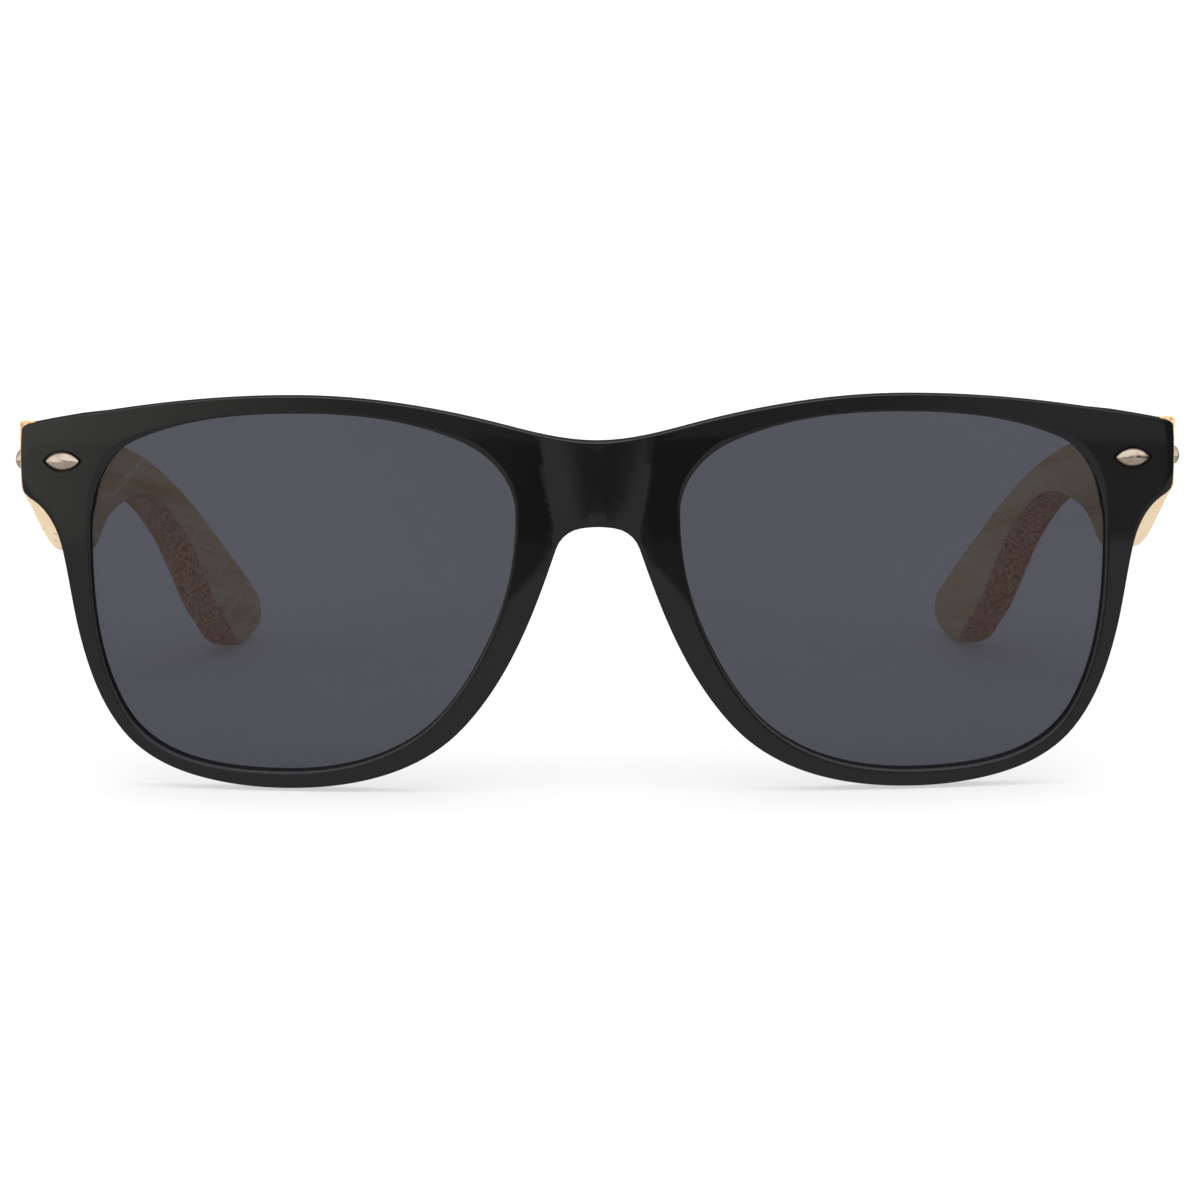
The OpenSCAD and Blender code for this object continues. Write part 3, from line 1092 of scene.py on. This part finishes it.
@dataclass
class Rivet:
    """A polished almond rivet: a domed head sunk in its seat, on a round shank."""

    shank: float
    length: float = 4.8
    height: float = 2.5
    dome: float = 1.0
    sunk: float = 0.45
    margin: float = 0.2
    shank_r: float = 0.7
    bore_gap: float = 0.06
    overlap: float = 0.1
    foot_gap: float = 0.02
    lip: float = 0.12
    corner: float = 50.0
    fullness: float = 0.6
    sides: int = 24
    steps: int = 20
    rings: tuple[float, ...] = (0.97, 0.9, 0.78, 0.62, 0.45, 0.28, 0.12)

    def outline(self, margin: float = 0.0) -> list[Vector]:
        """The almond's outline, grown by a margin."""
        radius = (self.length**2 + self.height**2) / (4 * self.height)
        shift = radius - self.height / 2
        grown = radius + margin
        half = math.acos(shift / grown)
        points = []
        for sign in (1, -1):
            for i in range(self.steps):
                angle = half * (2 * i / self.steps - 1) * sign
                out = grown * math.cos(angle) - shift
                points.append(Vector((grown * math.sin(angle), sign * out)))
        return points

    def seat(self, place: Matrix) -> bmesh.types.BMesh:
        """The recess that the head sits in, as a shape to cut away."""
        bm = bmesh.new()
        clear = 2.0
        lid = [bm.verts.new((p.x, -clear, p.y)) for p in self.outline(self.margin)]
        thickened(bm, [bm.faces.new(lid)], (0, clear + self.sunk, 0))
        bmesh.ops.transform(bm, matrix=place, verts=bm.verts)
        bmesh.ops.recalc_face_normals(bm, faces=bm.faces)
        return bm

    def bore(self, place: Matrix, past: float) -> bmesh.types.BMesh:
        """The hole that the shank goes in and a distance past it, as a shape to cut away."""
        bm = bmesh.new()
        self._add_rod(bm, self.shank_r + self.bore_gap, self.shank + past)
        bmesh.ops.transform(bm, matrix=place, verts=bm.verts)
        bmesh.ops.recalc_face_normals(bm, faces=bm.faces)
        return bm

    def _add_rod(self, bm: bmesh.types.BMesh, radius: float, end: float) -> None:
        """Adds a round rod, from just inside the head's foot to a depth."""
        start = self.sunk - self.overlap
        rod = bmesh.ops.create_cone(
            bm,
            cap_ends=True,
            segments=self.sides,
            radius1=radius,
            radius2=radius,
            depth=end - start,
        )["verts"]
        turn = Matrix.Rotation(math.radians(90), 3, "X")
        bmesh.ops.rotate(bm, verts=rod, cent=(0, 0, 0), matrix=turn)
        bmesh.ops.translate(bm, vec=(0, (start + end) / 2, 0), verts=rod)

    def build(self, name: str, place: Matrix, finish: bpy.types.Material) -> bpy.types.Object:
        """Makes the rivet.

        Args:
            name: The piece's name.
            place: The head's place, with +Y into what it holds.
            finish: The rivet's material.

        Returns:
            The rivet's object.
        """
        bm = bmesh.new()
        depth = self.sunk - self.foot_gap
        foot = drawn_loop(bm, [Vector((p.x, depth, p.y)) for p in self.outline()])
        bm.faces.new(foot)
        edges = [edge for edge in bm.edges if edge.is_boundary]
        share = 1.0
        for ring in (1.0, *self.rings):
            level = self.lip - (self.dome + self.lip) * (1 - ring**2) ** self.fullness
            verts = verts_of(bmesh.ops.extrude_edge_only(bm, edges=edges)["geom"])
            bmesh.ops.scale(bm, vec=(ring / share, 1, ring / share), verts=verts)
            bmesh.ops.translate(bm, vec=(0, level - depth, 0), verts=verts)
            edges = [edge for edge in bm.edges if edge.is_boundary]
            depth = level
            share = ring
        top = [vert for vert in bm.verts if vert.is_boundary]
        bmesh.ops.pointmerge(bm, verts=top, merge_co=(0, -self.dome, 0))
        self._add_rod(bm, self.shank_r, self.shank)
        bmesh.ops.transform(bm, matrix=place, verts=bm.verts)
        return finished(name, bm, [finish], self.corner)


@dataclass
class Temple:
    """A bamboo temple, cut from a flat board, with its butt against the end piece."""

    side: Side
    reach: float = 137.0
    thickness: float = 4.4
    splay: float = 6.0
    butt_h: float = 8.9
    butt_top: float = 45.4
    flare_h: float = 14.2
    waist_h: float = 7.2
    hook_h: float = 11.2
    arm_fall: float = 9.5
    hook_fall: float = 21.5
    tip_r: float = 2.8
    tip_up: float = 0.9
    inner: float = 1.7
    hinge: Span = (67.1, 16.0)
    butt: float = 14.2
    start: float = -3.0
    bow: float = 41.0
    hook_l: float = 37.0
    hook_up: float = 16.7
    rivet_u: float = 0.6
    rivet_z: float = 40.3
    rivet_fullness: float = 0.2
    shank_short: float = 0.8
    bore_past: float = 0.06
    rounding: float = 0.55
    corner: float = 55.0
    leaf_t: float = 1.0
    leaf_proud: float = 0.05
    waist: float = 60.0
    flat_facing: float = 0.8
    swell: float = 1.0
    swell_run: Span = (10.0, 55.0)
    tip_fined: float = 0.8
    tip_run: float = 22.0
    tip_lift: Span = (-0.4, 2.4)
    fining: float = 0.5
    steps: int = 12
    strips: int = 20

    def top_at(self, along: float) -> float:
        """The height of the straight top edge at a distance behind the hinge pin."""
        return self.butt_top - (along + 2) * math.tan(math.radians(self.arm_fall))

    def tip(self, heading: float) -> Knot:
        """A knot on the round tip."""
        side = Knot(0, 0, heading + 90).unit() * self.tip_r
        across = self.reach - self.tip_r + side.x
        return Knot(across, self.tip_r + self.tip_up + side.y, heading)

    def knots(self) -> list[Knot]:
        """The side view, clockwise from the butt's top, by distance behind the pin and height."""
        hook = self.reach - self.hook_l
        high = self.tip_r + self.tip_up + self.hook_up
        waist = self.top_at(self.bow) - self.waist_h
        return [
            Knot(self.start, self.top_at(self.start), -self.arm_fall),
            Knot(self.bow, self.top_at(self.bow) + 0.1, -self.arm_fall - 1),
            Knot(hook, high, -self.hook_fall),
            self.tip(-self.hook_fall - 3),
            self.tip(-100),
            self.tip(-170),
            Knot(self.reach - 14.5, 0, 180),
            Knot(self.reach - 24, 3, 151),
            Knot(hook + 2, high - self.hook_h * 1.1, 151),
            Knot(self.reach * 0.57, waist - 8.8, 156),
            Knot(self.reach * 0.44, waist - 2.1, 166),
            Knot(self.bow, waist, 181),
            Knot(27, self.top_at(27) - self.waist_h - 4, 197),
            Knot(19.5, self.top_at(19.5) - self.flare_h - 1.1, 181),
            Knot(self.start, self.top_at(self.start) - self.butt_h, 158),
        ]

    def place(self) -> Matrix:
        """From the left temple's axes, X outwards, Y along and Z up, to the front's datum."""
        spot = Vector((self.hinge[0], self.hinge[1], 0))
        return Matrix.Translation(spot) @ Matrix.Rotation(math.radians(self.splay), 4, "Z")

    def rivet(self) -> Rivet:
        """The rivet of the outer face, whose shank stops short of the hinge leaf."""
        shank = self.thickness - self.leaf_t - self.shank_short
        return Rivet(shank, fullness=self.rivet_fullness)

    def rivet_place(self) -> Matrix:
        """The place of the rivet on the outer face, with +Y into the bamboo."""
        spot = Vector((self.inner + self.thickness, self.rivet_u, self.rivet_z))
        left = self.place() @ Matrix.Translation(spot) @ Matrix.Rotation(math.radians(90), 4, "Z")
        if self.side is Side.LEFT:
            return left
        return Matrix.Diagonal((-1, 1, 1, 1)) @ left @ Matrix.Diagonal((-1, 1, 1, 1))

    def build(self, finishes: Sequence[bpy.types.Material]) -> bpy.types.Object:
        """Makes the temple.

        Args:
            finishes: The materials of its surfaces, in their order as Wood gives it.

        Returns:
            The temple's object.
        """
        bm = bmesh.new()
        knots = self.knots()
        inner = self.inner + self.leaf_proud
        points: list[Vector] = []
        for start, end in zip(knots, knots[1:] + knots[:1]):
            points += stretch(start, end, self.steps)
        board = bm.faces.new([bm.verts.new((inner, p.x, p.y)) for p in points])
        thickened(bm, [board], (self.thickness - self.leaf_proud, 0, 0))
        self._swell_hook(bm)
        bmesh.ops.transform(bm, matrix=self.place(), verts=bm.verts)
        cut = sliced(bm, (0, self.butt, 0), (0, -1, 0), clear=True)
        bmesh.ops.holes_fill(bm, edges=cut)
        if self.side is Side.RIGHT:
            bmesh.ops.scale(bm, vec=(-1, 1, 1), verts=bm.verts)
        bmesh.ops.recalc_face_normals(bm, faces=bm.faces)
        bevelled(bm, sharp_edges(bm, self.corner), self.rounding, 3)
        bmesh.ops.recalc_face_normals(bm, faces=bm.faces)
        rivet = self.rivet()
        place = self.rivet_place()
        carved(bm, [rivet.seat(place), rivet.bore(place, self.bore_past)])
        bm.normal_update()
        for face in bm.faces:
            face.material_index = self._wood(face)
        return finished(f"temple_{self.side.word}_bamboo", bm, finishes)

    def _wood(self, face: bmesh.types.BMFace) -> Wood:
        """The surface of the temple that a face belongs to."""
        outwards = Matrix.Rotation(math.radians(self.splay), 3, "Z") @ Vector((1, 0, 0))
        outwards.x *= self.side.value
        facing = face.normal.dot(outwards)
        if abs(facing) > self.flat_facing:
            return Wood.INNER_FACE if facing < 0 else Wood.OUTER_FACE
        if face.normal.z > 0:
            return Wood.UPPER_EDGE
        behind = face.calc_center_median().y > self.waist
        return Wood.HOOK_EDGE if behind else Wood.FRONT_EDGE

    def _swell_hook(self, bm: bmesh.types.BMesh) -> None:
        """Thickens the board outwards towards the hook, and fines it under the tip."""
        start = self.swell_run[0]
        for i in range(self.strips):
            sliced(bm, (0, start + (self.reach - start) * i / self.strips, 0), (0, 1, 0))
        for vert in bm.verts:
            lifted = smooth_step(*self.tip_lift, vert.co.z)
            if vert.co.x > self.inner + self.thickness / 2:
                grown = smooth_step(*self.swell_run, vert.co.y)
                tip = smooth_step(self.reach - self.tip_run, self.reach, vert.co.y)
                vert.co.x += self.swell * grown * (1 - self.tip_fined * tip) * lifted
            else:
                vert.co.x += self.fining * (1 - lifted)


@dataclass
class Studio:
    """The pale floor, the soft light round the object and the camera, in metres.

    The edges of the light are heights and distances across, as parts of the unit way to it.
    """

    distance: float = 0.5
    elevation: float = 7.0
    roll: float = -0.22
    lens: float = 120.96
    shift: Span = (0.00167, -0.0036)
    floor_z: float = -0.0004
    floor_half: float = 4.0
    floor_front: float = -2.5
    floor_back: float = 1.0
    floor_bend: float = 0.7
    floor_steps: int = 12
    backdrop_top: float = 4.0
    wall_r: float = 6.0
    wall_low: float = -1.0
    wall_h: float = 6.0
    tint: float = 0.06
    middle_edge: Span = (-0.0838, -0.0822)
    table_edge: Span = (-0.1078, -0.1092)
    table_tone: Colour = (0.46, 0.46, 0.47)
    ground_tone: Colour = (0.42, 0.41, 0.40)
    slant_edge: Span = (-0.0970, -0.0980)
    slant_run: Span = (0.05, 0.115)
    slant_rise: float = 0.26
    slant_share: float = 0.82
    outer_edge: Span = (0.45, 0.52)
    outer_drop: float = 0.0205
    wall_glow: Mapping[float, float] = field(
        default_factory=lambda: {
            -0.62: 0.95,
            -0.5: 0.72,
            -0.38: 0.47,
            -0.28: 0.30,
            -0.1: 0.22,
            0.3: 0.20,
            0.45: 0.38,
            0.60: 0.40,
            0.68: 0.06,
        }
    )
    middle_glow: Mapping[float, float] = field(
        default_factory=lambda: {
            -0.62: 0.80,
            -0.5: 0.52,
            -0.34: 0.56,
            -0.24: 0.33,
            -0.13: 0.10,
            -0.06: 0.03,
            0.13: 0.04,
            0.22: 0.07,
            0.31: 0.14,
            0.60: 0.21,
            0.68: 0.06,
        }
    )
    target: Vector = field(default_factory=lambda: Vector((0, -DATUM_BACK, 24.5)) * MM)

    def build(self) -> None:
        """Sets up the floor, the lights, the surroundings and the camera."""
        self._floor()
        self._wall()
        self._surroundings()
        self._light("overhead", (0.0, -0.10, 0.95), (0.0, 0.0, 0.0), 1.2, 6.5)
        self._light("back_floor", (0.0, 1.2, 0.9), (0.0, 1.3, 0.2), 1.6, 3.0)
        self._light("front_fill", (0.0, -0.85, 0.22), (0.0, -0.05, 0.02), 0.6, 1.4)
        for side in Side:
            beside = (0.8 * side.value, -0.1, 0.35)
            self._light(f"{side.word}_fill", beside, (0.0, 0.0, 0.03), 0.5, 1.3)
        self._camera()
        bpy.context.scene.view_settings.view_transform = "Standard"
        bpy.context.scene.view_settings.look = "None"

    def _floor(self) -> None:
        """Makes the floor, which curves up into a backdrop and glows with painted light."""
        bm = bmesh.new()
        back, bend, steps = self.floor_back, self.floor_bend, self.floor_steps
        path = [Vector((0, back, self.floor_z))]
        for i in range(1, steps + 1):
            angle = math.pi / 2 * i / steps
            rise = bend * (1 - math.cos(angle))
            path.append(Vector((0, back + bend * math.sin(angle), rise)))
        path.append(Vector((0, back + bend, self.backdrop_top)))
        last = Vector((0, self.floor_front, self.floor_z))
        ends = [Vector((across, 0, 0)) for across in (-self.floor_half, self.floor_half)]
        edges = [bm.edges.new([bm.verts.new(last + end) for end in ends])]
        for spot in path:
            grown = bmesh.ops.extrude_edge_only(bm, edges=edges)["geom"]
            bmesh.ops.translate(bm, vec=spot - last, verts=verts_of(grown))
            edges = edges_of(grown)
            last = spot
        for face in bm.faces:
            face.smooth = True
        bmesh.ops.recalc_face_normals(bm, faces=bm.faces)
        shader, material = Shader.of_material("studio_floor")
        place = shader.place()
        cloud = shader.noise(place, 3.0)
        # The floor's glow is painted light that lightens the cast shadows: dimmest nearest the
        # glasses and brighter far off, which also evens out the lamps' fall-off.
        away = shader.node("ShaderNodeVectorMath", {"operation": "LENGTH"}, {0: place}, "Value")
        stops = grey_stops({0.075: 0.57, 0.14: 0.66, 0.50: 0.68, 1.0: 0.95})
        shader.surface(
            {
                "Base Color": shader.mix(cloud, (0.30, 0.30, 0.30), (0.31, 0.31, 0.31)),
                "Roughness": 0.9,
                "Specular IOR Level": 0.0,
                "Emission Color": shader.ramp(away, stops),
                "Emission Strength": 1.0,
            }
        )
        floor = self._backdrop("studio_floor", bm, material)

    def _wall(self) -> None:
        """Makes a plain white wall all round, far off, which lights nothing."""
        bm = bmesh.new()
        ring = bmesh.ops.create_circle(bm, cap_ends=False, segments=64, radius=self.wall_r)
        bmesh.ops.translate(bm, vec=(0, 0, self.wall_low), verts=ring["verts"])
        grown = bmesh.ops.extrude_edge_only(bm, edges=bm.edges[:])["geom"]
        bmesh.ops.translate(bm, vec=(0, 0, self.wall_h), verts=verts_of(grown))
        shader, material = Shader.of_material("studio_wall")
        cloud = shader.noise(shader.place(), 0.5)
        white = shader.mix(cloud, (1.0, 1.0, 1.0), (1.02, 1.02, 1.02))
        shader.surface(
            {
                "Base Color": (0.0, 0.0, 0.0, 1.0),
                "Emission Color": white,
                "Emission Strength": 1.0,
            }
        )
        wall = self._backdrop("studio_wall", bm, material)
        wall.visible_diffuse = False
        wall.visible_transmission = False
        wall.visible_shadow = False

    @staticmethod
    def _backdrop(
        name: str, bm: bmesh.types.BMesh, material: bpy.types.Material
    ) -> bpy.types.Object:
        """Makes a part of the studio that the object does not mirror.

        Args:
            name: The part's name.
            bm: Its mesh in metres, which is freed.
            material: Its material.

        Returns:
            The new object.
        """
        mesh = bpy.data.meshes.new(name)
        bm.to_mesh(mesh)
        bm.free()
        mesh.materials.append(material)
        part = linked(name, mesh)
        part.visible_glossy = False
        return part

    def _surroundings(self) -> None:
        """Lights the object from all round: bright above and dim in front."""
        world = bpy.data.worlds.new("studio")
        bpy.context.scene.world = world
        world.use_nodes = True
        shader = Shader(world.node_tree)
        way = shader.node("ShaderNodeTexCoord", output="Generated")
        across, back, up = (
            shader.node("ShaderNodeSeparateXYZ", None, {0: way}, axis) for axis in "XYZ"
        )
        wall = self._glow(shader, across, self.wall_glow)
        middle = self._glow(shader, across, self.middle_glow)
        front = shader.mix(up.step(*self.middle_edge), middle, wall)
        aside = across.maths("ABSOLUTE")
        near, far = self.slant_run
        slant = up + aside.most(near).least(far) * self.slant_rise
        slant = slant - aside.step(*self.outer_edge) * self.outer_drop
        level_share = 1 - self.slant_share
        table = up.step(*self.table_edge) * level_share
        table = table + slant.step(*self.slant_edge) * self.slant_share
        front = shader.mix(table, front, self.table_tone)
        dim = grey_stops({0.05: 0.6, 0.20: 0.5, 0.30: 0.04, 0.95: 0.06})
        behind = shader.ramp(across * 0.5 + 0.5, dim)
        level = shader.mix(back.step(-0.35, 0.0), front, behind)
        level = shader.mix(up.step(-0.3, -0.6), level, self.ground_tone)
        above = shader.mix(back.step(0.0, 0.6), (1.0, 1.0, 1.0), (0.6, 0.6, 0.6))
        level = shader.mix(up.step(0.18, 0.6), level, above)
        light = shader.node("ShaderNodeBackground", None, {"Color": level, "Strength": 1.0})
        shader.node("ShaderNodeOutputWorld", None, {"Surface": light})

    def _glow(self, shader: Shader, across: Value, glow: Mapping[float, float]) -> Value:
        """The light from the front at a height.

        Args:
            shader: The surroundings' shader.
            across: The way's part along X.
            glow: Levels of light, by the way's part along X.

        Returns:
            The colour of the light, warmer on the left of the picture.
        """
        stops = []
        for place, light in glow.items():
            tint = self.tint * (1 if place > 0 else -1)
            stops.append((place / 2 + 0.5, (light, light, light * (1 + tint))))
        return shader.ramp(across * 0.5 + 0.5, stops)

    def _light(
        self,
        name: str,
        place: Triple,
        aim: Triple,
        size: float,
        power: float,
    ) -> None:
        """Adds a soft square light.

        Args:
            name: The light's name.
            place: Where it hangs.
            aim: The point that it faces.
            size: Its width.
            power: Its power in watts.
        """
        lamp = bpy.data.lights.new(name, "AREA")
        lamp.shape = "SQUARE"
        lamp.size = size
        lamp.energy = power
        light = linked(name, lamp)
        light.location = place
        towards = Vector(aim) - Vector(place)
        light.rotation_euler = towards.to_track_quat("-Z", "Y").to_euler()
        light.visible_glossy = False

    def _camera(self) -> None:
        """Sets up the camera at the photograph's angle."""
        data = bpy.data.cameras.new("camera")
        data.sensor_width = 36.0
        data.lens = self.lens
        data.shift_x, data.shift_y = self.shift
        data.clip_start = 0.01
        camera = linked("camera", data)
        tilt = math.radians(self.elevation)
        back = Vector((0, -math.cos(tilt), math.sin(tilt)))
        camera.location = self.target + self.distance * back
        level = Matrix.Rotation(math.pi / 2 - tilt, 4, "X")
        turn = level @ Matrix.Rotation(math.radians(self.roll), 4, "Z")
        camera.rotation_euler = turn.to_euler()
        bpy.context.scene.camera = camera


@dataclass
class Sunglasses:
    """The whole object: its pieces, their finishes and the bodies that they ride on."""

    nodes: Mapping[str, bpy.types.Object]
    front: Front = field(default_factory=Front)

    def build(self) -> None:
        """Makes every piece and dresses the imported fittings."""
        gloss = GlossBlack().material()
        # The openings' walls get a lighter black whose colour is painted light.
        satin = SatinWallPaintedLight().material()
        tint = TintedLens().material()
        polish = WornSilver().material()
        self._fit(self.front.build([gloss, satin]), "front", "front_frame")
        for side in Side:
            word = side.word
            self._fit(Lens(self.front, side).build(tint), "front", f"lens_{word}")
            place = self.front.rivet_place(side)
            head = self.front.rivet().build(f"front_rivet_{word}_head", place, polish)
            self._fit(head, "front", f"front_rivet_{word}")
            temple = Temple(side)
            grain = self._bamboo(-temple.splay * side.value)
            arm = temple.build([finish.material() for finish in grain])
            self._fit(arm, side.body, f"temple_{word}")
            head = temple.rivet().build(f"temple_rivet_{word}_head", temple.rivet_place(), polish)
            self._fit(head, side.body, f"temple_rivet_{word}")
        self._dress_fittings()

    def _bamboo(self, turn: float) -> list[Union[BambooFace, BambooEdge]]:
        """A temple's finishes at a turn in degrees, in the order that Wood gives."""
        outer = [(0.91, 0.68, 0.42), (0.84, 0.60, 0.345), (0.66, 0.42, 0.21)]
        front = [(0.97, 0.765, 0.51), (0.92, 0.70, 0.43), (0.76, 0.515, 0.28)]
        upper = [(0.88, 0.57, 0.24), (0.76, 0.45, 0.17), (0.48, 0.24, 0.09)]
        # The hook's underside: its specks are fibre ends, and its darker, redder tone is painted
        # shade under the hook.
        lower = [(0.98, 0.68, 0.46), (0.92, 0.61, 0.39), (0.54, 0.26, 0.14)]
        return [
            BambooFace("bamboo_outer_face", turn, 0.2, *outer),
            BambooEdge("bamboo_upper_edge", turn, *upper),
            BambooEdge("bamboo_lower_edge", turn, *lower, speck=(3200.0, 1050.0, 1050.0)),
            BambooFace("bamboo_inner_face", turn, 0.85),
            BambooFace("bamboo_front_edge", turn, 0.2, *front),
        ]

    def _fit(self, piece: bpy.types.Object, body: str, node: str) -> None:
        """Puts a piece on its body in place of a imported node.

        Args:
            piece: The piece.
            body: The body that it moves with.
            node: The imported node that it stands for.
        """
        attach(piece, body)
        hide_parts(node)
        LOG.info("%s stands for %s on %s", piece.name, node, body)

    def _dress_fittings(self) -> None:
        """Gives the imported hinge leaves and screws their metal."""
        nickel = Metal("hinge_nickel", (0.70, 0.69, 0.68), (0.58, 0.57, 0.56), 0.36, 0.14)
        steel = Metal("screw_steel", (0.66, 0.66, 0.67), (0.52, 0.52, 0.53), 0.20, 0.10)
        leaf, screw = nickel.material(), steel.material()
        finishes = {
            "front_leaf": leaf,
            "temple_leaf": leaf,
            "hinge_screw": screw,
            "leaf_screws": screw,
        }
        for stem, finish in finishes.items():
            for side in Side:
                fitting = self.nodes[f"{stem}_{side.word}"]
                fitting.data.materials.clear()
                fitting.data.materials.append(finish)
                LOG.info("%s is dressed in %s", fitting.name, finish.name)


def main() -> None:
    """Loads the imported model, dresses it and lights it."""
    logging.basicConfig(level=logging.INFO, format="%(name)s: %(message)s")
    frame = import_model()
    Sunglasses(frame["nodes"]).build()
    Studio().build()


if __name__ == "__main__":
    main()
